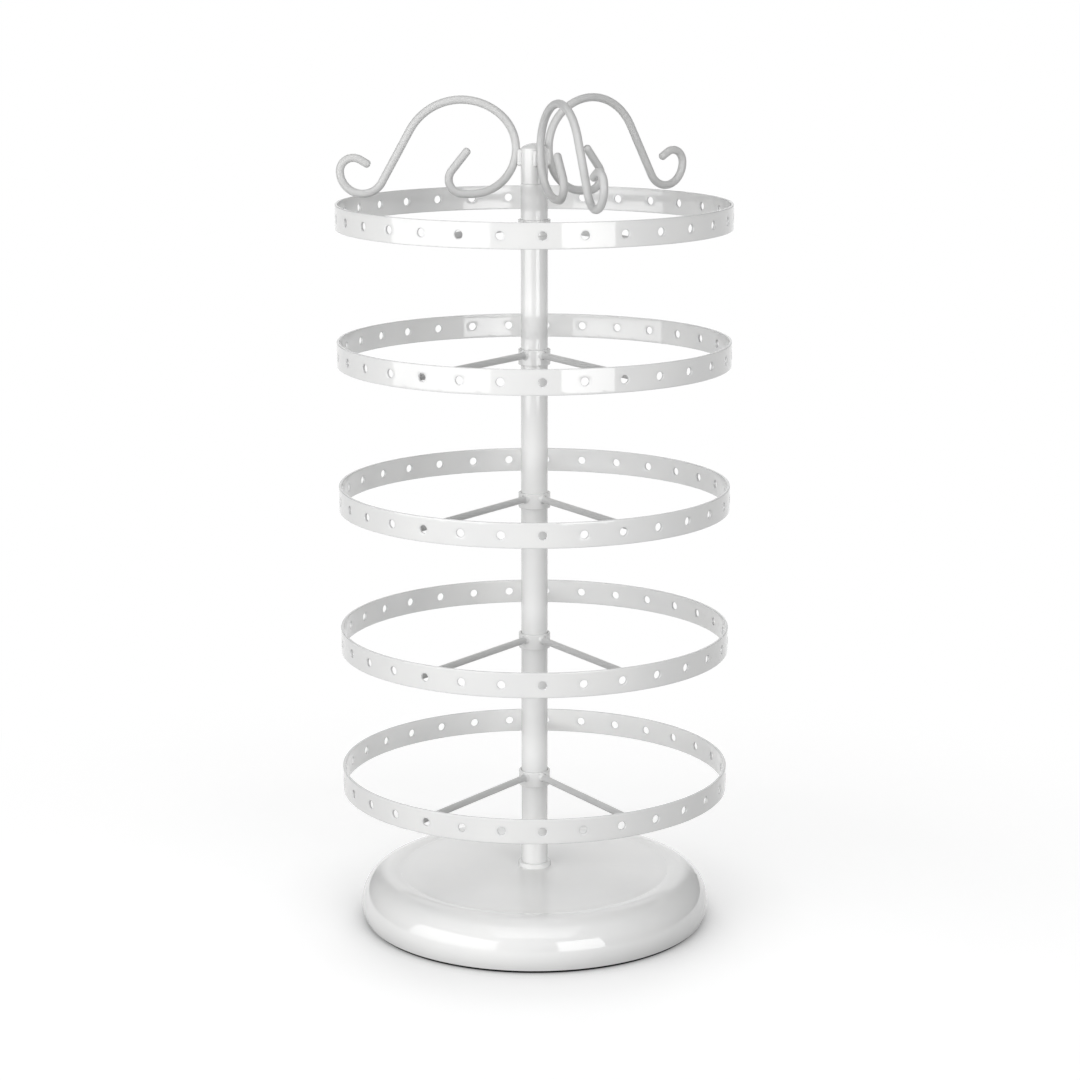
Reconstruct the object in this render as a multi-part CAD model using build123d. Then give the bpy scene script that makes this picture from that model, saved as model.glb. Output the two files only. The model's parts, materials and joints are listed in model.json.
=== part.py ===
from build123d import *
import os
from math import asin, cos, degrees, radians, sin, sqrt

os.makedirs("parts", exist_ok=True)

# A five-tier turning earring stand, in millimetres. The floor is z = 0, the pole
# stands on the Z axis, and the front of the stand faces -Y.

# Round weighted base
base_diameter = 159.5
rim_radius = 14.5             # round of the rim, seen in section
rim_centre_height = 7.8
crease_angle = 105.0          # where the rim meets the top, measured up from its widest line
crease_round = 5.0
crown_rise = 1.8              # rise of the top from the crease to the pole
seat_radius = 10.0            # flat seat between the pole and the ballast's boss
base_sheet = 1.5
lip_width = 8.0               # sheet turned in under the rim
pad_thickness = 1.4
pad_inset = 1.2               # pad edge behind the rim's lower edge
ballast_thickness = 8.0
ballast_gap = 1.0             # between the ballast and the turned lip

# Bolt that holds the pole down on the base
bolt_diameter = 6.0
bolt_hole_clearance = 0.3
bolt_head_width = 10.0
bolt_head_height = 4.0
bolt_head_recess = 0.8        # head above the pad
bolt_washer_diameter = 12.0
bolt_washer_thickness = 1.2
counterbore_clearance = 0.5
bolt_engagement = 12.0
foot_plug_length = 14.0

# Tubular pole and its screwed joints
pole_diameter = 12.0
pole_wall = 1.5
flange_width = 1.5
flange_height = 2.2
flange_round = 0.8
stud_diameter = 5.0
stud_engagement = 6.0
plug_length = 7.0
thread_clearance = 0.05
bush_wall = 1.45

# Hub that turns on the bush of its joint
hub_height = 7.0
hub_wall = 0.85
hub_rim_round = 0.35
sleeve_gap = 0.3              # between the hub and the pole inside it
web_thickness = 2.0
web_clearance = 0.08          # running fit of the web on the bush
web_play = 0.1                # below the web
web_headroom = 0.2            # above the web
glide_washer_thickness = 0.5
glide_washer_inset = 0.2      # washer edge inside the pole's surface
glide_washer_clearance = 0.1  # washer hole round the bush

# Pierced bands
band_diameter = 175.0
band_height = 11.0
band_thickness = 1.2
band_edge_round = 0.3
hole_count = 31
hole_diameter = 3.6
hole_phase = 2.4              # first hole from the front, in degrees towards +X

# Spokes, with angles from the front towards +X
spoke_diameter = 3.0
spoke_height = 4.7            # spoke centre above the hub's lower edge
spoke_right_angle = 32.0
spoke_left_angle = -35.3
spoke_back_angle = 180.0
spoke_weld = 0.65             # weld standing round a spoke's end

# Heights of the tiers, numbered from the top
tier_count = 5
lowest_band_height = 62.5
tier_pitch = 64.8
top_tier_pitch = 60.5
top_band_lift = 3.2           # top band above its hub's lower edge

# Crown post and its three wire scrolls
crown_joint_rise = 8.4        # joint of pole and post above the top band
spigot_length = 8.0
post_cover = 2.6              # post above the place where the scrolls touch it
dome_height = 2.2
joint_bevel = 0.25
wire_diameter = 3.6
wire_end_round = 1.5
scroll_clearance = 1.9        # scrolls above the top band
scroll_gap = 0.2              # between a scroll and the post, filled by its weld
scroll_reach = 85.2           # farthest point of the wire's centre line
loop_radius = 19.7
shoulder_start = 41.6         # rise of the wire where the loop opens into the shoulder
flank_slope = 61.2            # fall of the straight flank between the shoulder and the hook
inner_run = 3.5
inner_bend_radius = 6.3
inner_bend_angle = 128.4
inner_tip_length = 12.1
hook_radius = 9.8
curl_radius = 5.9
curl_angle = 120.5
curl_tip_length = 5.0
scroll_left_angle = 179.0     # scroll planes, from +X towards +Y
scroll_right_angle = 37.6
scroll_front_angle = -70.3
crown_weld_radius = 1.2
crown_weld_offset = 0.35      # weld centre outside the post's surface
crown_weld_length = 5.0
crown_weld_drop = 1.2         # top of the weld's core below the touching place

# Radii that several pieces share
pole_radius = pole_diameter / 2
pole_bore_radius = pole_radius - pole_wall
stud_radius = stud_diameter / 2
thread_hole_radius = stud_radius + thread_clearance
bush_radius = thread_hole_radius + bush_wall
sleeve_radius = pole_radius + sleeve_gap
hub_radius = sleeve_radius + hub_wall
web_bore_radius = bush_radius + web_clearance
band_radius = band_diameter / 2
band_inner_radius = band_radius - band_thickness
spoke_radius = spoke_diameter / 2
wire_radius = wire_diameter / 2
bolt_radius = bolt_diameter / 2
front = -90.0


def rod(radius, bottom, top):
    return Pos(0, 0, bottom) * extrude(Circle(radius), top - bottom)


def tube(outer, inner, bottom, top):
    return Pos(0, 0, bottom) * extrude(Circle(outer) - Circle(inner), top - bottom)


def turned(*edges):
    # Solid of revolution about Z from a closed outline of (radius, height)
    return revolve(Plane.XZ * make_face(Wire(edges)), Axis.Z)


def at_angle(angle, piece):
    return Rot(0, 0, angle) * piece


# Base shell: rounded rim, creased top and a lip turned in under the rim
rim_centre_radius = base_diameter / 2 - rim_radius
inner_rim_radius = rim_radius - base_sheet
lip_top = pad_thickness + base_sheet
lip_angle = degrees(asin((rim_centre_height - pad_thickness) / rim_radius))
inner_lip_angle = degrees(asin((rim_centre_height - lip_top) / inner_rim_radius))


def rim_point(radius, angle):
    across = rim_centre_radius + radius * cos(radians(angle))
    up = rim_centre_height + radius * sin(radians(angle))
    return across, up


crease = rim_point(rim_radius, crease_angle)
inner_crease = rim_point(inner_rim_radius, crease_angle)
lip = rim_point(rim_radius, -lip_angle)
inner_lip = rim_point(inner_rim_radius, -inner_lip_angle)
lip_edge_radius = lip[0] - lip_width
base_top = crease[1] + crown_rise
base_ceiling = base_top - base_sheet
bolt_hole_radius = bolt_radius + bolt_hole_clearance

base_outline = make_face(
    Wire([
        Line((bolt_hole_radius, base_top), (seat_radius, base_top)),
        TangentArc((seat_radius, base_top), crease, tangent=(1, 0)),
        ThreePointArc(crease, rim_point(rim_radius, 0), lip),
        Line(lip, (lip_edge_radius, pad_thickness)),
        Line((lip_edge_radius, pad_thickness), (lip_edge_radius, lip_top)),
        Line((lip_edge_radius, lip_top), inner_lip),
        ThreePointArc(inner_lip, rim_point(inner_rim_radius, 0), inner_crease),
        TangentArc((seat_radius, base_ceiling), inner_crease, tangent=(1, 0)),
        Line((seat_radius, base_ceiling), (bolt_hole_radius, base_ceiling)),
        Line((bolt_hole_radius, base_ceiling), (bolt_hole_radius, base_top)),
    ])
)
crease_corner = base_outline.vertices().sort_by_distance(crease)[0]
base_outline = fillet(crease_corner, crease_round)
base_shell = revolve(Plane.XZ * base_outline, Axis.Z)

# Pad under the base and ballast inside it, with a boss up to the shell
pad_radius = lip[0] - pad_inset
ballast_radius = lip_edge_radius - ballast_gap
base_pad = rod(pad_radius, 0, pad_thickness)

counterbore_depth = bolt_head_recess + bolt_head_height + bolt_washer_thickness
counterbore_radius = bolt_washer_diameter / 2 + counterbore_clearance
head_bottom = pad_thickness + bolt_head_recess
head_top = head_bottom + bolt_head_height
washer_top = head_top + bolt_washer_thickness
ballast_weight = rod(ballast_radius, pad_thickness, pad_thickness + ballast_thickness)
ballast_weight += rod(seat_radius, pad_thickness, base_ceiling)
ballast_weight -= rod(bolt_hole_radius, pad_thickness, base_ceiling)
ballast_weight -= rod(counterbore_radius, pad_thickness, pad_thickness + counterbore_depth)

# Hold-down bolt, its washer, and the plug that it screws into
hexagon = RegularPolygon(bolt_head_width / 2, 6, major_radius=False)
base_bolt = Pos(0, 0, head_bottom) * extrude(hexagon, bolt_head_height)
base_bolt += rod(bolt_radius, head_top, base_top + bolt_engagement)
bolt_thread_radius = bolt_radius + thread_clearance
base_washer = tube(bolt_washer_diameter / 2, bolt_hole_radius, head_top, washer_top)
foot_plug = tube(pole_bore_radius, bolt_thread_radius, base_top, base_top + foot_plug_length)

# Flange round the pole's foot
flange_radius = pole_radius + flange_width
foot_flange = tube(flange_radius, pole_radius, base_top, base_top + flange_height)
flange_rim = foot_flange.edges().group_by(Axis.Z)[-1].sort_by(SortBy.LENGTH)[-1]
foot_flange = fillet(flange_rim, flange_round)


# Heights of the bands, the hubs and the pole's joints
def band_bottom(tier):
    if tier == 1:
        return band_bottom(2) + top_tier_pitch
    return lowest_band_height + (tier_count - tier) * tier_pitch


def hub_bottom(tier):
    return band_bottom(tier) - (top_band_lift if tier == 1 else 0)


def web_bottom(tier):
    return hub_bottom(tier) + (hub_height - web_thickness) / 2


def lower_face(tier):
    return web_bottom(tier) - web_play - glide_washer_thickness


def upper_face(tier):
    return web_bottom(tier) + web_thickness + web_headroom


tiers = range(1, tier_count + 1)
top_band_top = band_bottom(1) + band_height
crown_joint = top_band_top + crown_joint_rise

# Pole sections from the foot up, with a short neck above the top tier
pole_sections = {}
section_start = base_top
for number, tier in enumerate(reversed(tiers), start=1):
    pole_sections[f"pole_section_{number}"] = tube(
        pole_radius, pole_bore_radius, section_start, lower_face(tier))
    section_start = upper_face(tier)
pole_neck = tube(pole_radius, pole_bore_radius, section_start, crown_joint)
neck_rim = pole_neck.edges().group_by(Axis.Z)[-1].sort_by(SortBy.LENGTH)[-1]
pole_neck = chamfer(neck_rim, joint_bevel)

# Joint hardware: threaded plugs, studs, bushes and glide washers
plugs = []
studs = []
bushes = []
glide_washers = []
glide_washer_radius = pole_radius - glide_washer_inset
glide_washer_bore = bush_radius + glide_washer_clearance
for tier in tiers:
    low = lower_face(tier)
    high = upper_face(tier)
    plugs.append(tube(pole_bore_radius, thread_hole_radius, low - plug_length, low))
    plugs.append(tube(pole_bore_radius, thread_hole_radius, high, high + plug_length))
    studs.append(rod(stud_radius, low - stud_engagement, high + stud_engagement))
    bushes.append(tube(bush_radius, thread_hole_radius, low, high))
    glide_washers.append(
        tube(glide_washer_radius, glide_washer_bore, low, low + glide_washer_thickness))

# Hub: a sleeve round the pole with a web inside it, from its lower edge at z = 0
web_low = (hub_height - web_thickness) / 2
hub = tube(hub_radius, sleeve_radius, 0, hub_height)
hub += tube(hub_radius, web_bore_radius, web_low, web_low + web_thickness)
hub_rims = hub.edges().filter_by(GeomType.CIRCLE).filter_by(
    lambda edge: abs(edge.radius - hub_radius) < thread_clearance)
hub = fillet(hub_rims, hub_rim_round)

# Band: a flat strip rolled into a hoop and pierced, from its lower edge at z = 0
band_middle = Pos(band_radius - band_thickness / 2, band_height / 2)
strip = band_middle * RectangleRounded(band_thickness, band_height, band_edge_round)
band = revolve(Plane.XZ * strip, Axis.Z)
hole_pitch = 360 / hole_count
punch_length = 2 * band_thickness + hole_diameter
punch = Pos(band_radius, 0, band_height / 2) * Rot(0, 90, 0) * Cylinder(
    hole_diameter / 2, punch_length)
band -= [at_angle(front + hole_phase + k * hole_pitch, punch) for k in range(hole_count)]

# Spoke: a rod coped to the hub and to the band, with a weld round each of its ends
cope_low = -hub_height
cope_high = 2 * hub_height
spoke_rod = Pos(0, 0, spoke_height) * Rot(0, 90, 0) * extrude(Circle(spoke_radius), band_radius)
hub_space = rod(hub_radius, cope_low, cope_high)
band_space = tube(band_diameter, band_inner_radius, cope_low, cope_high)
spoke = spoke_rod - hub_space - band_space
weld_ball = Rot(0, 90, 0) * Sphere(spoke_radius + spoke_weld)
hub_weld = Pos(hub_radius, 0, spoke_height) * weld_ball - spoke_rod - hub_space
band_weld = Pos(band_inner_radius, 0, spoke_height) * weld_ball - spoke_rod - band_space
spoke_angles = {
    "right": front + spoke_right_angle,
    "left": front + spoke_left_angle,
    "back": front + spoke_back_angle,
}

# Tiers: hub, band, three spokes and the welds at both ends of each spoke
tier_pieces = {}
for tier in tiers:
    place = Pos(0, 0, hub_bottom(tier))
    tier_pieces[f"tier_{tier}_band"] = Pos(0, 0, band_bottom(tier)) * band
    tier_pieces[f"tier_{tier}_hub"] = place * hub
    welds = []
    for side, angle in spoke_angles.items():
        tier_pieces[f"tier_{tier}_spoke_{side}"] = place * at_angle(angle, spoke)
        welds.append(place * at_angle(angle, hub_weld))
        welds.append(place * at_angle(angle, band_weld))
    tier_pieces[f"tier_{tier}_welds"] = Compound(children=welds)

# Scroll: one bent wire in the XZ plane, from its inner tip over the loop to its outer tip
scroll_low = top_band_top + scroll_clearance + wire_radius
touch_radius = pole_radius + scroll_gap + wire_radius
touch_height = scroll_low + loop_radius
loop_centre = Vector(touch_radius + loop_radius, touch_height)


def towards(angle):
    return Vector(cos(radians(angle)), sin(radians(angle)))


hook_centre = Vector(scroll_reach - hook_radius, scroll_low + hook_radius)
curl_centre = Vector(scroll_reach - curl_radius, hook_centre.Y)
bend_centre = Vector(loop_centre.X + inner_run, scroll_low + inner_bend_radius)

# The straight flank touches the hook, and the shoulder is the arc between the loop and the flank
shoulder_angle = shoulder_start + 90
flank_normal = towards(90 - flank_slope)
shoulder_lean = towards(shoulder_angle).dot(flank_normal)
flank_distance = (hook_centre - loop_centre).dot(flank_normal) - hook_radius
shoulder_radius = (flank_distance - shoulder_lean * loop_radius) / (1 - shoulder_lean)
shoulder_centre = loop_centre + towards(shoulder_angle) * (loop_radius - shoulder_radius)

bend_end = bend_centre + towards(inner_bend_angle - 90) * inner_bend_radius
inner_tip = bend_end + towards(inner_bend_angle) * inner_tip_length
curl_end = curl_centre + towards(curl_angle) * curl_radius
curl_tip = curl_end + towards(curl_angle + 90) * curl_tip_length
flank_top = shoulder_centre + flank_normal * shoulder_radius
flank_foot = hook_centre - flank_normal * hook_radius

wire_line = Wire([
    Line(inner_tip, bend_end),
    CenterArc(bend_centre, inner_bend_radius, inner_bend_angle - 90, -inner_bend_angle),
    Line((bend_centre.X, scroll_low), (loop_centre.X, scroll_low)),
    CenterArc(loop_centre, loop_radius, 270, shoulder_angle - 270),
    CenterArc(shoulder_centre, shoulder_radius, shoulder_angle,
              90 - flank_slope - shoulder_angle),
    Line(flank_top, flank_foot),
    CenterArc(hook_centre, hook_radius, -flank_slope - 90, flank_slope + 90),
    CenterArc(curl_centre, curl_radius, 0, curl_angle),
    Line(curl_end, curl_tip),
])
wire_path = Plane.XZ * wire_line
scroll = sweep(Plane(wire_path @ 0, z_dir=wire_path % 0) * Circle(wire_radius), wire_path)
wire_ends = scroll.faces().filter_by(GeomType.PLANE).edges()
scroll = fillet(wire_ends, wire_end_round)

# Crown post with a spigot inside the neck and a domed top
post_top = touch_height + post_cover
dome_bottom = post_top - dome_height
dome_radius = (pole_radius**2 + dome_height**2) / (2 * dome_height)
dome_side = dome_radius * sin(asin(pole_radius / dome_radius) / 2)
dome_crown = post_top - dome_radius + sqrt(dome_radius**2 - dome_side**2)
crown_post = turned(
    Line((0, crown_joint - spigot_length), (pole_bore_radius, crown_joint - spigot_length)),
    Line((pole_bore_radius, crown_joint - spigot_length), (pole_bore_radius, crown_joint)),
    Line((pole_bore_radius, crown_joint), (pole_radius - joint_bevel, crown_joint)),
    Line((pole_radius - joint_bevel, crown_joint), (pole_radius, crown_joint + joint_bevel)),
    Line((pole_radius, crown_joint + joint_bevel), (pole_radius, dome_bottom)),
    ThreePointArc((pole_radius, dome_bottom), (dome_side, dome_crown), (0, post_top)),
    Line((0, post_top), (0, crown_joint - spigot_length)),
)

# Weld beads on both sides of each scroll where it touches the post
weld_top = touch_height - crown_weld_drop
weld_low = weld_top - crown_weld_length
weld_bead = turned(
    Line((0, weld_low - crown_weld_radius), (0, weld_top + crown_weld_radius)),
    RadiusArc((0, weld_top + crown_weld_radius), (crown_weld_radius, weld_top), crown_weld_radius),
    Line((crown_weld_radius, weld_top), (crown_weld_radius, weld_low)),
    RadiusArc((crown_weld_radius, weld_low), (0, weld_low - crown_weld_radius), crown_weld_radius),
)
post_space = rod(pole_radius, crown_joint, post_top)
crown_weld_pair = [
    Pos(pole_radius + crown_weld_offset, side, 0) * weld_bead - post_space - scroll
    for side in (wire_radius, -wire_radius)
]
scroll_angles = {
    "left": scroll_left_angle,
    "right": scroll_right_angle,
    "front": scroll_front_angle,
}
crown_welds = [
    at_angle(angle, weld) for angle in scroll_angles.values() for weld in crown_weld_pair
]

# Every piece under its node's name
nodes = {
    "base_shell": base_shell,
    "base_pad": base_pad,
    "ballast_weight": ballast_weight,
    "base_bolt": base_bolt,
    "base_washer": base_washer,
    "foot_plug": foot_plug,
    "foot_flange": foot_flange,
    **pole_sections,
    "pole_neck": pole_neck,
    "thread_plugs": Compound(children=plugs),
    "joint_studs": Compound(children=studs),
    "pivot_bushes": Compound(children=bushes),
    "glide_washers": Compound(children=glide_washers),
    **tier_pieces,
    "crown_post": crown_post,
    **{f"scroll_{side}": at_angle(angle, scroll) for side, angle in scroll_angles.items()},
    "crown_welds": Compound(children=crown_welds),
}

for name, piece in nodes.items():
    export_step(piece, f"parts/{name}.step")
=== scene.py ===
import json
from math import cos, pi, radians, sin, sqrt

import bmesh
import bpy
from mathutils import Matrix, Vector


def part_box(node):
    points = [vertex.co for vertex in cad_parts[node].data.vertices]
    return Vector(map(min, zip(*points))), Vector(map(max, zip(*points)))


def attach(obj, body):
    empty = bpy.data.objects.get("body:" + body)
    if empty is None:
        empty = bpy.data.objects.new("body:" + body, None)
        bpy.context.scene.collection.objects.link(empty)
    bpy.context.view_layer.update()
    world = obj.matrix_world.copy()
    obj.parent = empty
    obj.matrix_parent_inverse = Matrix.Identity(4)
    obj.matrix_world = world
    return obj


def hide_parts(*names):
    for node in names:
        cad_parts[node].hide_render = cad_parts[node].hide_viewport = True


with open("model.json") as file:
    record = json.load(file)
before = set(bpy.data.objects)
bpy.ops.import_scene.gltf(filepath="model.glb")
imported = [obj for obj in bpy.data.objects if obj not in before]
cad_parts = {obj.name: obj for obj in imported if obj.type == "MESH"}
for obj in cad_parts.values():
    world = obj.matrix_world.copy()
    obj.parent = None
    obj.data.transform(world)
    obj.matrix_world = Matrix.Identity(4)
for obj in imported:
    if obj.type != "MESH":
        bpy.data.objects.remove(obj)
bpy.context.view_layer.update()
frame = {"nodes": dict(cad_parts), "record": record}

nodes = frame["nodes"]
tiers = range(1, 6)  # 1 is the top tier
frontAngle = -90.0  # the stand faces -Y
print("frame: loaded", len(nodes), "nodes")


# Shader maths: a Field is one output socket, and plain Python operators add the nodes
class Field:
    def __init__(self, tree, socket=None):
        self.tree = tree
        self.socket = socket

    def add(self, nodeType, settings, sockets, output=0):
        node = self.tree.nodes.new(nodeType)
        for key, value in settings.items():
            if key == "stops":
                setStops(node.color_ramp, value)
            else:
                setattr(node, key, value)
        for key, value in sockets.items():
            if isinstance(value, Field):
                self.tree.links.new(value.socket, node.inputs[key])
            else:
                node.inputs[key].default_value = value
        return Field(self.tree, node.outputs[output] if node.outputs else None)

    def math(self, operation, first, second):
        return self.add("ShaderNodeMath", {"operation": operation}, {0: first, 1: second})

    def __add__(self, other):
        return self.math("ADD", self, other)

    def __radd__(self, other):
        return self.math("ADD", other, self)

    def __sub__(self, other):
        return self.math("SUBTRACT", self, other)

    def __rsub__(self, other):
        return self.math("SUBTRACT", other, self)

    def __mul__(self, other):
        return self.math("MULTIPLY", self, other)

    def __rmul__(self, other):
        return self.math("MULTIPLY", other, self)

    def clipped(self):
        return self.add("ShaderNodeMath", {"operation": "ADD", "use_clamp": True}, {0: self, 1: 0.0})


def setStops(ramp, stops):
    while len(ramp.elements) < len(stops):
        ramp.elements.new(1.0)
    for stop, (spot, shade) in zip(ramp.elements, stops):
        stop.position = spot
        stop.color = (shade, shade, shade, 1)


def newMaterial(name):
    made = bpy.data.materials.new(name)
    made.use_nodes = True
    made.node_tree.nodes.clear()
    return made, Field(made.node_tree)


def noise(field, where, size, detail, rough=0.5):
    return field.add("ShaderNodeTexNoise", {}, {
        "Vector": where, "Scale": 1 / size, "Detail": detail, "Roughness": rough})


def cells(field, where, size):
    return field.add("ShaderNodeTexVoronoi", {}, {"Vector": where, "Scale": 1 / size})


def ramp(field, value, stops):
    return field.add("ShaderNodeValToRGB", {"stops": stops}, {"Fac": value})


def smoothStep(field, value, low, high):
    return field.add("ShaderNodeMapRange", {"interpolation_type": "SMOOTHSTEP"}, {
        "Value": value, "From Min": low, "From Max": high})


def vectorMath(field, operation, *vectors, output=0):
    return field.add("ShaderNodeVectorMath", {"operation": operation}, dict(enumerate(vectors)), output)


def mixColour(field, share, first, second):
    return field.add("ShaderNodeMix", {"data_type": "RGBA"}, {
        "Factor": share, 6: first, 7: second}, output=2)


def mixShader(field, share, first, second):
    return field.add("ShaderNodeMixShader", {}, {"Fac": share, 1: first, 2: second})


def bump(field, height, depth):
    return field.add("ShaderNodeBump", {}, {"Height": height, "Distance": depth})


def place(field):
    return field.add("ShaderNodeTexCoord", {}, {}, output="Object")


def finishMaterial(field, sockets):
    shader = field.add("ShaderNodeBsdfPrincipled", {}, sockets)
    field.add("ShaderNodeOutputMaterial", {}, {"Surface": shader})


def opaque(colour):
    return (*colour, 1.0)


level = (1, 1, 0)  # times a vector, it leaves X and Y

# White enamel: clouded by a hair, faint orange peel, a few dust nibs, thin on sharp edges
enamelLook = {
    "colour": (0.84, 0.84, 0.832),
    "cloudColour": (0.80, 0.802, 0.80),
    "cloudSize": 0.030,
    "cloudStops": [(0.35, 0), (0.7, 1)],
    "edgeColour": (0.70, 0.705, 0.71),
    "edgeTint": 0.6,
    "edgeCover": 0.55,  # a worn edge shows this much everywhere
    "edgeBreak": 0.6,  # and up to this much more where the fine noise is high
    "fineSize": 0.6,  # fine noise, as a share of the peel's size
    "peelSize": 0.0022,
    "peelDepth": 0.0000016,
    "waveSize": 0.014,
    "waveDepth": 0.000008,
    "nibSize": 0.012,
    "nibDepth": 0.00001,
    "nibStops": [(0.0, 1), (0.035, 0)],
    "roughness": 0.05,
    "roughSpread": 0.05,
    "edgeRoughness": 0.16,
    "specular": 0.5,
    "coat": 0.35,
    "coatRoughness": 0.03,
    "flatRadius": 0.0,  # above 0: duller inside this distance from the pole
    "flatBlend": 0.008,
    "flatRoughness": 0.14,
}
# the wires and spokes have a duller paint, and their greyer colour is painted shade that darkens them
# as if less lit
shadedWireLook = {**enamelLook, "colour": (0.65, 0.65, 0.645), "cloudColour": (0.62, 0.622, 0.62),
            "roughness": 0.30, "specular": 0.35, "coat": 0.0}
# the base's whiter colour is painted light that brightens it as if more lit; it has a duller flat on
# top
brightenedBaseLook = {**enamelLook, "colour": (0.90, 0.90, 0.892), "cloudColour": (0.87, 0.872, 0.87),
            "flatRadius": 0.056}


def makeEnamel(name, look):
    made, f = newMaterial(name)
    where = place(f)
    clouds = ramp(f, noise(f, where, look["cloudSize"], detail=3), look["cloudStops"])
    edge = f.add("ShaderNodeAttribute", {"attribute_name": "edge"}, {}, output="Fac")  # bands only
    fine = noise(f, where, look["peelSize"] * look["fineSize"], detail=4)
    edgeShare = (edge * (look["edgeCover"] + look["edgeBreak"] * fine)).clipped()
    colour = mixColour(f, clouds, opaque(look["colour"]), opaque(look["cloudColour"]))
    colour = mixColour(f, edgeShare * look["edgeTint"], colour, opaque(look["edgeColour"]))
    peel = noise(f, where, look["peelSize"], detail=1)
    wave = noise(f, where, look["waveSize"], detail=0)
    nibs = ramp(f, cells(f, where, look["nibSize"]), look["nibStops"])
    height = peel * look["peelDepth"] + wave * look["waveDepth"] + nibs * look["nibDepth"]
    roughness = look["roughness"] + look["roughSpread"] * clouds * fine
    roughness = roughness + look["edgeRoughness"] * edgeShare
    coat = look["coat"]
    if look["flatRadius"]:
        away = vectorMath(f, "LENGTH", vectorMath(f, "MULTIPLY", where, level), output="Value")
        dull = 1 - smoothStep(f, away, look["flatRadius"], look["flatRadius"] + look["flatBlend"])
        roughness = roughness + look["flatRoughness"] * dull
        coat = coat * (1 - dull)
    finishMaterial(f, {
        "Base Color": colour, "Roughness": roughness, "Normal": bump(f, height, 1.0),
        "Specular IOR Level": look["specular"], "Coat Weight": coat,
        "Coat Roughness": look["coatRoughness"]})
    return made


# Foam pad under the base: open cells and a rubbed, dusty skin
foamLook = {
    "colour": (0.012, 0.012, 0.013),
    "dustColour": (0.045, 0.044, 0.042),
    "dustSize": 0.012,
    "dustStops": [(0.42, 0), (0.75, 1)],
    "cellSize": 0.0006,
    "cellDepth": 0.00018,
    "roughness": 0.92,
    "cellRoughness": 0.12,  # less rough away from a cell's middle
    "specular": 0.3,
}


def makeFoam(name, look):
    made, f = newMaterial(name)
    where = place(f)
    pores = cells(f, where, look["cellSize"])
    dust = ramp(f, noise(f, where, look["dustSize"], detail=5, rough=0.65), look["dustStops"])
    colour = mixColour(f, dust * pores, opaque(look["colour"]), opaque(look["dustColour"]))
    finishMaterial(f, {
        "Base Color": colour, "Roughness": look["roughness"] - look["cellRoughness"] * pores,
        "Normal": bump(f, pores, look["cellDepth"]), "Specular IOR Level": look["specular"]})
    return made


# Inner pieces: bright zinc, turned brass, rough iron and nylon
innerLooks = {
    "zinc_steel": {"colour": (0.60, 0.61, 0.63), "shade": (0.44, 0.45, 0.47), "metal": 1.0,
                   "roughness": 0.26, "grainSize": 0.0011, "grainDepth": 0.000010, "turned": 0.25},
    "bush_brass": {"colour": (0.72, 0.56, 0.28), "shade": (0.55, 0.40, 0.17), "metal": 1.0,
                   "roughness": 0.24, "grainSize": 0.0004, "grainDepth": 0.000008, "turned": 0.06},
    "cast_iron": {"colour": (0.17, 0.17, 0.175), "shade": (0.10, 0.095, 0.09), "metal": 0.8,
                  "roughness": 0.62, "grainSize": 0.0016, "grainDepth": 0.00022, "turned": 1.0},
    "nylon": {"colour": (0.84, 0.83, 0.79), "shade": (0.76, 0.74, 0.69), "metal": 0.0,
              "roughness": 0.42, "grainSize": 0.0009, "grainDepth": 0.000014, "turned": 1.0},
}
innerClouds = {
    "size": 9,  # times the grain's size
    "stops": [(0.36, 0), (0.66, 1)],
    "roughSpread": 0.16,
}


def makeInner(name, look):
    made, f = newMaterial(name)
    where = place(f)
    # turning marks run round the upright axis: below 1, turned draws the grain out along X and Y
    stretch = (look["turned"], look["turned"], 1)
    grained = f.add("ShaderNodeMapping", {}, {"Vector": where, "Scale": stretch})
    grain = noise(f, grained, look["grainSize"], detail=4, rough=0.6)
    clouds = noise(f, where, look["grainSize"] * innerClouds["size"], detail=3)
    shade = ramp(f, grain * 0.5 + clouds * 0.5, innerClouds["stops"])
    colour = mixColour(f, shade, opaque(look["shade"]), opaque(look["colour"]))
    finishMaterial(f, {
        "Base Color": colour, "Metallic": look["metal"],
        "Roughness": look["roughness"] + innerClouds["roughSpread"] * (clouds - 0.5),
        "Normal": bump(f, grain, look["grainDepth"])})
    return made


enamel = makeEnamel("whiteEnamel", enamelLook)
shadedWireEnamel = makeEnamel("shadedWireEnamel", shadedWireLook)
brightenedBaseEnamel = makeEnamel("brightenedBaseEnamel", brightenedBaseLook)
foam = makeFoam("foamPad", foamLook)
finishes = {"white_enamel": enamel, "dark_foam": foam}
for slotName, look in innerLooks.items():
    finishes[slotName] = makeInner(slotName + "Finish", look)
for subpart in frame["record"]["subparts"]:
    finish = finishes[subpart["material_slot"]]
    # the spokes take the wire paint, whose greyer colour is painted shade
    if "_spoke_" in subpart["node"]:
        finish = shadedWireEnamel
    # the base takes the whiter colour that is painted light
    elif subpart["node"] == "base_shell":
        finish = brightenedBaseEnamel
    mesh = nodes[subpart["node"]].data
    mesh.materials.clear()
    mesh.materials.append(finish)
print("finishes:", len(bpy.data.materials), "materials on", len(nodes), "nodes")


# Mesh helpers
mergeDistance = 1e-7


def toObject(name, bm, finish):
    bmesh.ops.remove_doubles(bm, verts=bm.verts, dist=mergeDistance)
    bmesh.ops.recalc_face_normals(bm, faces=bm.faces)
    mesh = bpy.data.meshes.new(name)
    bm.to_mesh(mesh)
    bm.free()
    for face in mesh.polygons:
        face.use_smooth = True
    mesh.materials.append(finish)
    made = bpy.data.objects.new(name, mesh)
    bpy.context.scene.collection.objects.link(made)
    return made


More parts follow.
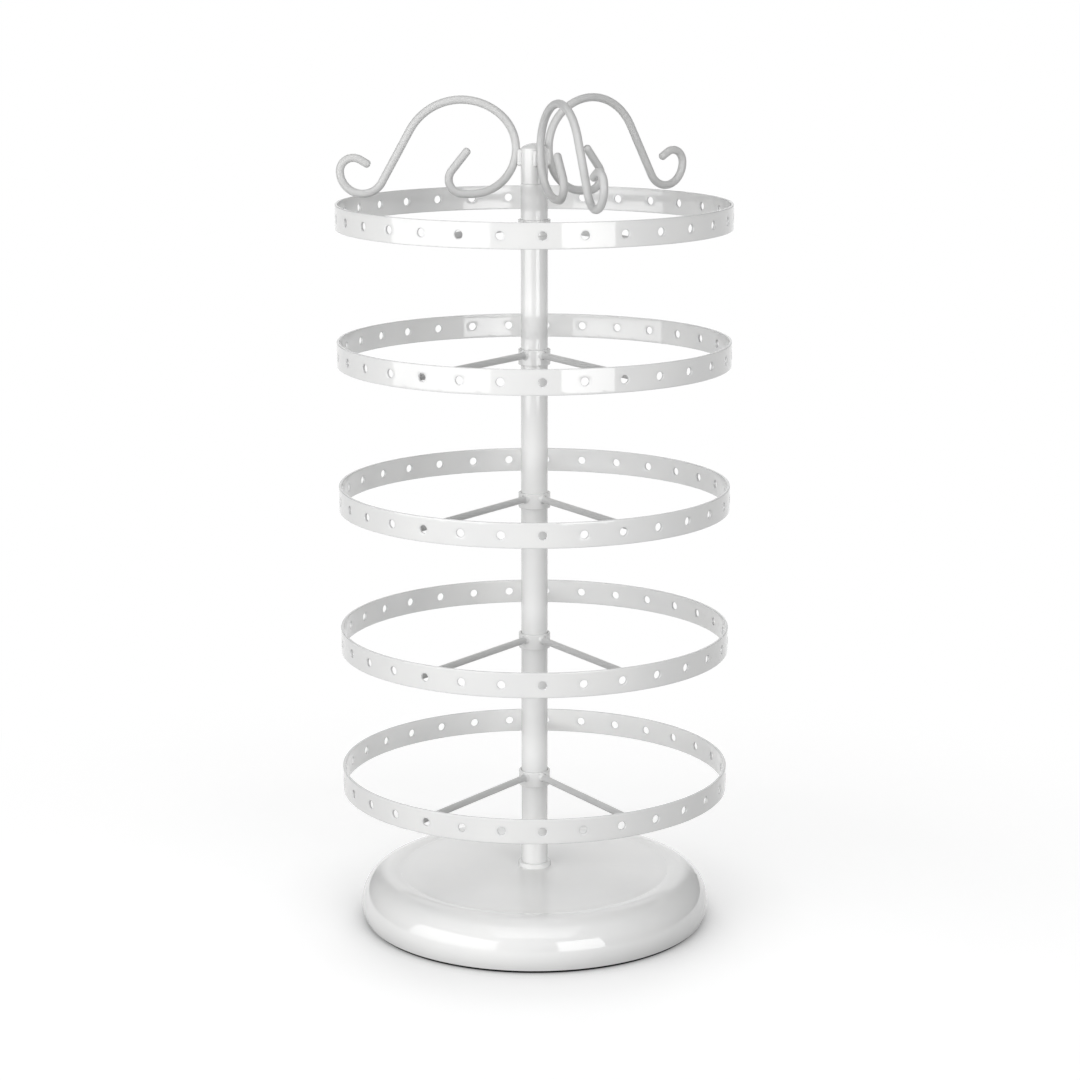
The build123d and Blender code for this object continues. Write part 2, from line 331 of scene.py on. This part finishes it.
def skin(bm, rows, closed=True):
    # quads between rows of vertices, each row going round once when closed
    for lower, upper in zip(rows, rows[1:]):
        count = len(lower)
        for k in range(count if closed else count - 1):
            n = (k + 1) % count
            bm.faces.new((lower[k], lower[n], upper[n], upper[k]))


def closedTube(bm, rows):
    skin(bm, rows)
    bm.faces.new(rows[0][::-1])
    bm.faces.new(rows[-1])


def turnsRound(steps):
    return [2 * pi * k / steps for k in range(steps)]


def aboutPole(angle):
    return Matrix.Rotation(radians(angle), 4, "Z")


def lowOf(node):
    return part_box(node)[0].z


def highOf(node):
    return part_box(node)[1].z


def radiusOf(node):
    low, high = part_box(node)
    return (high.x - low.x) / 2


# Pierced bands: the strip is rolled round the pole, with soft lips where the paint fills the holes
bandShape = {
    "holeCount": 31,
    "holeDiameter": 0.0036,
    "holePhase": 2.4,  # first hole from the front, degrees towards +X
    "thickness": 0.0012,
    "clear": 0.00001,  # keeps the facets inside the CAD box
    "edgeRound": 0.0003,
    "lipRound": 0.00026,
    "roundWear": 1.0,  # how thin the paint is on the rounds
    "lipWear": 0.5,  # on the flat beside a hole
    "borderWear": 0.3,  # on the flat beside an edge
    "roundSteps": 4,
    "faceRings": 5,
    "sideSteps": 8,
    "topSteps": 14,
}


def cellRim(shape, halfWidth, halfHeight):
    # the outline of one hole's share of the strip, with the turn round the hole for each point
    rim = []
    corners = [(1, -1), (1, 1), (-1, 1), (-1, -1), (1, -1)]
    for side, (start, end) in enumerate(zip(corners, corners[1:])):
        steps = shape["sideSteps"] if side % 2 == 0 else shape["topSteps"]
        for k in range(steps):
            t = k / steps
            u = (start[0] + (end[0] - start[0]) * t) * halfWidth
            v = (start[1] + (end[1] - start[1]) * t) * halfHeight
            rim.append((u, v, radians(-45 + 90 * (side + t))))
    return rim


def roundOff(radius, steps):
    # (in, down) offsets of a quarter round, from the face to the wall
    turns = [pi / 2 * k / steps for k in range(1, steps + 1)]
    return [(radius * (1 - sin(a)), radius * (1 - cos(a))) for a in turns]


def throughWall(quarter, thickness):
    # a quarter round down from the outer face, then its mirror image up to the inner face
    return quarter + [(along, thickness - down) for along, down in reversed(quarter)]


def makeBand(name, shape, radius, height):
    thickness = shape["thickness"]
    edgeRound = shape["edgeRound"]
    holeRadius = shape["holeDiameter"] / 2
    lipRadius = holeRadius + shape["lipRound"]
    halfWidth = pi * radius / shape["holeCount"]
    halfHeight = height / 2 - edgeRound
    rim = cellRim(shape, halfWidth, halfHeight)
    lip = [(holeRadius + out, down) for out, down in roundOff(shape["lipRound"], shape["roundSteps"])]
    edge = [(edgeRound - inward, down) for inward, down in roundOff(edgeRound, shape["roundSteps"])]
    bm = bmesh.new()
    wearLayer = bm.verts.layers.float.new("edge")

    def spot(angle, u, v, depth, wear):
        turn = angle + u / radius
        reach = radius - depth
        vert = bm.verts.new((reach * cos(turn), reach * sin(turn), height / 2 + v))
        vert[wearLayer] = wear
        return vert

    def holeColumn(angle, u, v, turn):
        # over the outer face to the hole, through it and back over the inner face
        across, up = cos(turn), sin(turn)
        face = []
        for k in range(shape["faceRings"] + 1):
            t = 1 - k / shape["faceRings"]
            wear = shape["lipWear"] if k == shape["faceRings"] else 0.0
            face.append((lipRadius * across * (1 - t) + u * t, lipRadius * up * (1 - t) + v * t, wear))
        column = [spot(angle, a, b, 0, wear) for a, b, wear in face]
        for reach, depth in throughWall(lip, thickness):
            column.append(spot(angle, reach * across, reach * up, depth, shape["roundWear"]))
        return column + [spot(angle, a, b, thickness, wear) for a, b, wear in reversed(face)]

    def edgeStrip(angle, u, v, sign):
        strip = [spot(angle, u, v, 0, shape["borderWear"])]
        for rise, depth in throughWall(edge, thickness):
            strip.append(spot(angle, u, v + sign * rise, depth, shape["roundWear"]))
        return strip + [spot(angle, u, v, thickness, shape["borderWear"])]

    for hole in range(shape["holeCount"]):
        angle = radians(frontAngle + shape["holePhase"] + hole * 360 / shape["holeCount"])
        columns = [holeColumn(angle, *point) for point in rim]
        skin(bm, [*columns, columns[0]], closed=False)
        # rounded upper and lower edges of the strip
        for sign in (1, -1):
            border = sorted(u for u, v, turn in rim if v == sign * halfHeight)
            skin(bm, [edgeStrip(angle, u, sign * halfHeight, sign) for u in border], closed=False)
    return toObject(name, bm, enamel)


bandRadius = radiusOf("tier_1_band")
bandHeight = highOf("tier_1_band") - lowOf("tier_1_band")
for tier in tiers:
    band = makeBand(f"band_{tier}", bandShape, bandRadius - bandShape["clear"], bandHeight)
    band.data.transform(Matrix.Translation((0, 0, lowOf(f"tier_{tier}_band"))))
    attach(band, f"tier_{tier}")
    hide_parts(f"tier_{tier}_band")
print("bands:", len(band.data.polygons), "faces each")


# Spoke welds: a lumpy fillet round each spoke's end, on the hub and on the band
weldShape = {
    "spokeDiameter": 0.003,
    "spokeAngles": (32.0, -35.3, 180.0),  # from the front towards +X
    "beadHeight": 0.00062,  # round the spoke where it meets the hub or band
    "beadLength": 0.0013,
    "taper": 1.8,  # how fast the bead thins out along the spoke
    "spokeClear": 0.00001,  # its thin end above the spoke
    "bury": 0.00008,
    "edgeClear": 0.0003,  # above the lower edge of the hub or band
    "lump": 0.10,
    "roundLumps": ((3, 1.0, 1.0), (5, 0.7, -2.3)),  # (waves, share, shift by the seed)
    "alongLumps": (9, 0.5),
    "seeds": {"tier": 1.7, "spoke": 2.9, "band": 1.1},
    "aroundSteps": 28,
    "alongSteps": 7,
}


def lumpiness(shape, a, t, seed):
    total = sum(share * sin(waves * a + shift * seed) for waves, share, shift in shape["roundLumps"])
    waves, share = shape["alongLumps"]
    return 1 + shape["lump"] * (total + share * sin(waves * t + seed))


def addBead(bm, shape, angle, upZ, wallRadius, lowest, outwards, seed):
    # outwards is 1 from the hub towards the band, -1 from the band towards the hub
    spokeRadius = shape["spokeDiameter"] / 2
    turn = aboutPole(angle)
    rows = []
    for k in range(shape["alongSteps"] + 1):
        t = k / shape["alongSteps"]
        row = []
        for a in turnsRound(shape["aroundSteps"]):
            lump = lumpiness(shape, a, t, seed)
            height = shape["beadHeight"] * lump * (1 - t) ** shape["taper"]
            reach = spokeRadius + height + shape["spokeClear"]
            y = reach * cos(a)
            z = max(reach * sin(a), lowest - upZ)
            wall = sqrt(wallRadius ** 2 - y ** 2)
            length = shape["beadLength"] * lump + shape["bury"]
            x = wall - outwards * shape["bury"] + outwards * t * length
            row.append(bm.verts.new(turn @ Vector((x, y, upZ + z))))
        rows.append(row)
    closedTube(bm, rows)


hubRadius = radiusOf("tier_1_hub")
bandInner = bandRadius - bandShape["thickness"]
spokeMiddle = (lowOf("tier_1_spoke_back") + highOf("tier_1_spoke_back")) / 2
spokeUp = spokeMiddle - lowOf("tier_1_hub")  # spoke centre above the hub's lower edge
seeds = weldShape["seeds"]
for tier in tiers:
    bm = bmesh.new()
    hubFoot = lowOf(f"tier_{tier}_hub") + weldShape["edgeClear"]
    bandFoot = lowOf(f"tier_{tier}_band") + weldShape["edgeClear"]
    upZ = lowOf(f"tier_{tier}_hub") + spokeUp
    for spoke, angle in enumerate(weldShape["spokeAngles"]):
        seed = seeds["tier"] * tier + seeds["spoke"] * spoke
        addBead(bm, weldShape, frontAngle + angle, upZ, hubRadius, hubFoot, 1, seed)
        addBead(bm, weldShape, frontAngle + angle, upZ, bandInner, bandFoot, -1, seed + seeds["band"])
    beads = toObject(f"spoke_welds_{tier}", bm, enamel)
    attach(beads, f"tier_{tier}")
    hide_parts(f"tier_{tier}_welds")
print("spoke welds:", 2 * len(weldShape["spokeAngles"]), "beads on each tier")


# Scrolls: one bent wire each, swept along straight runs and arcs in its own upright plane
wireShape = {
    "diameter": 0.0036,
    "clear": 0.00001,  # keeps the facets inside the CAD box
    "endRound": 0.0015,
    "clearance": 0.0019,  # above the top band
    "gap": 0.0002,  # to the post, filled by the weld
    "reach": 0.0852,
    "loopRadius": 0.0197,
    "shoulderStart": 41.6,
    "flankSlope": 61.2,
    "innerRun": 0.0035,
    "innerBendRadius": 0.0063,
    "innerBendAngle": 128.4,
    "innerTipLength": 0.0121,
    "hookRadius": 0.0098,
    "curlRadius": 0.0059,
    "curlAngle": 120.5,
    "curlTipLength": 0.0050,
    "angles": {"left": 179.0, "right": 37.6, "front": -70.3},  # from +X towards +Y
    "step": 0.0006,
    "aroundSteps": 36,
    "endSteps": 6,
}
fewestSteps = {"run": 2, "arc": 6}


def towards(angle):
    return Vector((cos(radians(angle)), sin(radians(angle))))


def runPoints(start, end, step):
    count = max(fewestSteps["run"], round((end - start).length / step))
    return [start.lerp(end, k / count) for k in range(count)]


def arcPoints(centre, radius, start, sweep, step):
    count = max(fewestSteps["arc"], round(radius * abs(radians(sweep)) / step))
    return [centre + towards(start + sweep * k / count) * radius for k in range(count)]


def wireLine(shape, low, postRadius):
    # centre line as (reach, height), from the inner tip over the loop to the outer tip
    loop = shape["loopRadius"]
    hook = shape["hookRadius"]
    curl = shape["curlRadius"]
    bend = shape["innerBendRadius"]
    step = shape["step"]
    slope = shape["flankSlope"]
    turn = shape["shoulderStart"] + 90
    loopCentre = Vector((postRadius + shape["gap"] + shape["diameter"] / 2 + loop, low + loop))
    hookCentre = Vector((shape["reach"] - hook, low + hook))
    curlCentre = Vector((shape["reach"] - curl, low + hook))
    bendCentre = Vector((loopCentre.x + shape["innerRun"], low + bend))
    across = towards(90 - slope)  # square to the straight flank
    lean = towards(turn).dot(across)
    shoulder = ((hookCentre - loopCentre).dot(across) - hook - lean * loop) / (1 - lean)
    shoulderCentre = loopCentre + towards(turn) * (loop - shoulder)
    bendAngle = shape["innerBendAngle"]
    bendEnd = bendCentre + towards(bendAngle - 90) * bend
    curlEnd = curlCentre + towards(shape["curlAngle"]) * curl
    curlTip = curlEnd + towards(shape["curlAngle"] + 90) * shape["curlTipLength"]
    line = runPoints(bendEnd + towards(bendAngle) * shape["innerTipLength"], bendEnd, step)
    line += arcPoints(bendCentre, bend, bendAngle - 90, -bendAngle, step)
    line += runPoints(Vector((bendCentre.x, low)), Vector((loopCentre.x, low)), step)
    line += arcPoints(loopCentre, loop, 270, turn - 270, step)
    line += arcPoints(shoulderCentre, shoulder, turn, 90 - slope - turn, step)
    line += runPoints(shoulderCentre + across * shoulder, hookCentre - across * hook, step)
    line += arcPoints(hookCentre, hook, -slope - 90, slope + 90, step)
    line += arcPoints(curlCentre, curl, 0, shape["curlAngle"], step)
    return line + runPoints(curlEnd, curlTip, step) + [curlTip]


def makeWire(name, shape, line, angle):
    radius = shape["diameter"] / 2 - shape["clear"]
    endRound = shape["endRound"]
    stations = []  # (point, heading, radius)
    for k, point in enumerate(line):
        heading = (line[min(k + 1, len(line) - 1)] - line[max(k - 1, 0)]).normalized()
        fromEnd = min((point - line[0]).length, (point - line[-1]).length)
        if fromEnd > endRound:
            stations.append((point, heading, radius))
    # rounded ends, as (in from the end, radius) from the flat end to the full wire
    caps = []
    for k in range(shape["endSteps"] + 1):
        a = pi / 2 * k / shape["endSteps"]
        caps.append((endRound * (1 - cos(a)), radius - endRound * (1 - sin(a))))
    startHeading = (line[1] - line[0]).normalized()
    endHeading = (line[-1] - line[-2]).normalized()
    first = [(line[0] + startHeading * inwards, startHeading, r) for inwards, r in caps]
    last = [(line[-1] - endHeading * inwards, endHeading, r) for inwards, r in reversed(caps)]
    turn = aboutPole(angle)
    bm = bmesh.new()
    rows = []
    for point, heading, r in first + stations + last:
        row = []
        for a in turnsRound(shape["aroundSteps"]):
            out = r * cos(a)
            side = r * sin(a)
            spot = Vector((point.x - heading.y * out, side, point.y + heading.x * out))
            row.append(bm.verts.new(turn @ spot))
        rows.append(row)
    closedTube(bm, rows)
    # the wire paint's greyer colour is painted shade
    return toObject(name, bm, shadedWireEnamel)


postRadius = radiusOf("crown_post")
wireLow = highOf("tier_1_band") + wireShape["clearance"] + wireShape["diameter"] / 2
line = wireLine(wireShape, wireLow, postRadius)
for side, angle in wireShape["angles"].items():
    wire = makeWire(f"wire_{side}", wireShape, line, angle)
    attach(wire, "stand")
    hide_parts(f"scroll_{side}")
print("scrolls:", len(line), "points along each wire")


# Crown welds: a rippled bead down both sides of each scroll, where it touches the post
crownWeld = {
    "offset": 0.00035,  # bead centre outside the post
    "radius": 0.00118,
    "ripple": 0.07,
    "rippleLimit": 1.02,
    "ripplePitch": 0.0013,
    "aroundSteps": 20,
    "alongSteps": 30,
}


def addSeam(bm, shape, angle, sideways, postRadius, low, high):
    turn = aboutPole(angle)
    rows = []
    for k in range(1, shape["alongSteps"]):
        t = -cos(pi * k / shape["alongSteps"])  # closer rows at both ends
        z = (low + high) / 2 + t * (high - low) / 2
        end = min(1.0, min(z - low, high - z) / shape["radius"])
        ripple = 1 + shape["ripple"] * sin(2 * pi * z / shape["ripplePitch"] + angle)
        reach = shape["radius"] * sqrt(1 - (1 - end) ** 2) * min(ripple, shape["rippleLimit"])
        row = []
        for a in turnsRound(shape["aroundSteps"]):
            x = postRadius + shape["offset"] + reach * cos(a)
            y = sideways + reach * sin(a)
            row.append(bm.verts.new(turn @ Vector((x, y, z))))
        rows.append(row)
    closedTube(bm, rows)


weldLow = lowOf("crown_welds")
weldHigh = highOf("crown_welds")
bm = bmesh.new()
for angle in wireShape["angles"].values():
    for side in (1, -1):
        sideways = side * wireShape["diameter"] / 2
        addSeam(bm, crownWeld, angle, sideways, postRadius, weldLow, weldHigh)
seams = toObject("crown_seams", bm, enamel)
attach(seams, "stand")
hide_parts("crown_welds")
print("crown welds: done")


# Foam pad: a thin disc, barrelled a little at its cut edge
padShape = {
    "edgeBulge": 0.00022,
    "edgeSteps": 8,
    "aroundSteps": 240,
    "rings": 14,
}


def makePad(name, shape, radius, low, high):
    bm = bmesh.new()
    flatRadius = radius - shape["edgeBulge"]
    rings = [flatRadius * k / shape["rings"] for k in range(1, shape["rings"] + 1)]
    outline = [(r, low) for r in rings]
    for k in range(1, shape["edgeSteps"]):
        t = k / shape["edgeSteps"]
        outline.append((radius - shape["edgeBulge"] * (1 - sin(pi * t)), low + (high - low) * t))
    outline += [(r, high) for r in reversed(rings)]
    turns = turnsRound(shape["aroundSteps"])
    rows = [[bm.verts.new((r * cos(a), r * sin(a), z)) for a in turns] for r, z in outline]
    skin(bm, rows)
    for row, z in ((rows[0], low), (rows[-1], high)):
        centre = bm.verts.new((0, 0, z))
        for k in range(len(row)):
            bm.faces.new((centre, row[k], row[(k + 1) % len(row)]))
    return toObject(name, bm, foam)


pad = makePad("foam_pad", padShape, radiusOf("base_pad"), lowOf("base_pad"), highOf("base_pad"))
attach(pad, "stand")
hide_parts("base_pad")
print("pad: done")


# Floor and backdrop: white to the eye, and the floor keeps the stand's shadow
stageLook = {
    "floorSize": 14.0,
    "paper": (0.80, 0.80, 0.80),  # lit paper and its glow add up to white round the base
    "glow": 0.40,
    "contactReach": 0.05,  # shade where the base comes near the floor
    "contactShade": 0.62,
    "contactSamples": 8,
    "fadeStart": 0.17,  # from here outwards the floor fades to plain white
    "fadeEnd": 0.42,
    "bounce": (0.14, 0.14, 0.14),  # the paper as it throws light back on the stand
    "ambient": 0.12,
    "backdrop": 1.0,
    "dimSides": 0.15,  # reflections of the studio beside and in front of the stand
    "backdropEdge": 0.93,  # how far round the backdrop reaches in reflections, as a cosine
    "backdropFull": 0.99,
}
mirrorRays = ("Is Glossy Ray", "Is Transmission Ray")
cameraRay = ("Is Camera Ray",)


def rayIs(field, kinds):
    total = 0.0
    for kind in kinds:
        total = total + field.add("ShaderNodeLightPath", {}, {}, output=kind)
    return total.clipped()


def diffuse(field, colour):
    return field.add("ShaderNodeBsdfDiffuse", {}, {"Color": opaque(colour)})


def emission(field, strength):
    return field.add("ShaderNodeEmission", {}, {"Strength": strength})


def background(field, strength):
    return field.add("ShaderNodeBackground", {}, {"Color": opaque((1, 1, 1)), "Strength": strength})


def makeFloor(look):
    bpy.ops.mesh.primitive_plane_add(size=look["floorSize"])
    floor = bpy.context.object
    floor.name = "floor"
    made, f = newMaterial("studioFloor")
    away = vectorMath(f, "LENGTH", place(f), output="Value")
    fade = smoothStep(f, away, look["fadeStart"], look["fadeEnd"])
    lit = f.add("ShaderNodeAddShader", {}, {0: diffuse(f, look["paper"]), 1: emission(f, look["glow"])})
    openness = f.add("ShaderNodeAmbientOcclusion", {"samples": look["contactSamples"]}, {
        "Distance": look["contactReach"]}, output="AO")
    lit = mixShader(f, 1 - look["contactShade"] * (1 - openness), diffuse(f, (0, 0, 0)), lit)
    seen = mixShader(f, fade, lit, emission(f, look["backdrop"]))
    both = mixShader(f, rayIs(f, cameraRay + mirrorRays), diffuse(f, look["bounce"]), seen)
    f.add("ShaderNodeOutputMaterial", {}, {"Surface": both})
    made.cycles.emission_sampling = "NONE"  # the glow is only seen, so it isn't sampled as a lamp
    floor.data.materials.append(made)


def makeWorld(look):
    world = bpy.data.worlds.new("studio")
    bpy.context.scene.world = world
    world.use_nodes = True
    world.node_tree.nodes.clear()
    world.cycles.sampling_method = "NONE"
    f = Field(world.node_tree)
    heading = f.add("ShaderNodeTexCoord", {}, {}, output="Generated")
    heading = vectorMath(f, "NORMALIZE", vectorMath(f, "MULTIPLY", heading, level))
    towardsBack = vectorMath(f, "DOT_PRODUCT", heading, (0, 1, 0), output="Value")
    behind = smoothStep(f, towardsBack, look["backdropEdge"], look["backdropFull"])
    mirrored = look["dimSides"] + (look["backdrop"] - look["dimSides"]) * behind
    mixed = mixShader(f, rayIs(f, mirrorRays), background(f, look["ambient"]), background(f, mirrored))
    mixed = mixShader(f, rayIs(f, cameraRay), mixed, background(f, look["backdrop"]))
    f.add("ShaderNodeOutputWorld", {}, {"Surface": mixed})


makeFloor(stageLook)
makeWorld(stageLook)
print("floor and backdrop: done")


# Softboxes: a large one on the left, one on the right and one overhead, and fills that don't
# show in reflections: behind, a weak one at the right side and a low one in front
lampSetup = {
    "left": {"turn": -55, "distance": 1.25, "low": 0.02, "high": 0.86, "width": 1.50, "radiance": 2.35},
    "right": {"turn": 30, "distance": 1.30, "low": 0.02, "high": 0.84, "width": 0.70, "radiance": 3.8},
    "back": {"turn": 180, "distance": 1.40, "low": 0.05, "high": 0.95, "width": 1.30, "radiance": 3.8,
             "mirrored": False},
    "side": {"turn": 118, "distance": 1.40, "low": 0.05, "high": 0.95, "width": 1.00, "radiance": 1.0,
             "mirrored": False},
    "front": {"turn": -25, "distance": 1.15, "low": 0.01, "high": 0.45, "width": 0.90, "radiance": 2.4,
              "mirrored": False},
}
overhead = {"height": 1.5, "forward": 0.6, "aim": 0.18, "width": 1.2, "radiance": 1.4}


def around(turn, distance, z):
    a = radians(frontAngle + turn)
    return Vector((distance * cos(a), distance * sin(a), z))


def addSoftbox(name, spot, target, width, height, radiance, mirrored=True):
    lamp = bpy.data.lights.new(name, "AREA")
    lamp.shape = "RECTANGLE"
    lamp.size = width
    lamp.size_y = height
    lamp.energy = radiance * pi * width * height
    box = bpy.data.objects.new(name, lamp)
    box.location = spot
    box.rotation_mode = "QUATERNION"
    box.rotation_quaternion = (target - spot).to_track_quat("-Z", "Y")
    box.visible_camera = False
    box.visible_glossy = mirrored
    bpy.context.scene.collection.objects.link(box)


for name, lamp in lampSetup.items():
    centre = (lamp["low"] + lamp["high"]) / 2
    addSoftbox(name + "Softbox", around(lamp["turn"], lamp["distance"], centre), Vector((0, 0, centre)),
               lamp["width"], lamp["high"] - lamp["low"], lamp["radiance"], lamp.get("mirrored", True))
addSoftbox("topSoftbox", Vector((0, -overhead["forward"], overhead["height"])),
           Vector((0, 0, overhead["aim"])), overhead["width"], overhead["width"], overhead["radiance"])
print("light: done")


# Camera as in the photograph: in front, a little above the crown and tilted down
cameraSetup = {
    "distance": 1.217,
    "height": 0.442,
    "sideways": 0.0025,
    "tilt": 12.29,
    "lens": 92.17,
    "sensor": 36.0,
}
cameraData = bpy.data.cameras.new("camera")
cameraData.lens = cameraSetup["lens"]
cameraData.sensor_width = cameraSetup["sensor"]
camera = bpy.data.objects.new("camera", cameraData)
camera.location = (cameraSetup["sideways"], -cameraSetup["distance"], cameraSetup["height"])
camera.rotation_euler = (radians(90 - cameraSetup["tilt"]), 0, 0)
bpy.context.scene.collection.objects.link(camera)
bpy.context.scene.camera = camera
bpy.context.scene.view_settings.view_transform = "Standard"
print("camera: done")
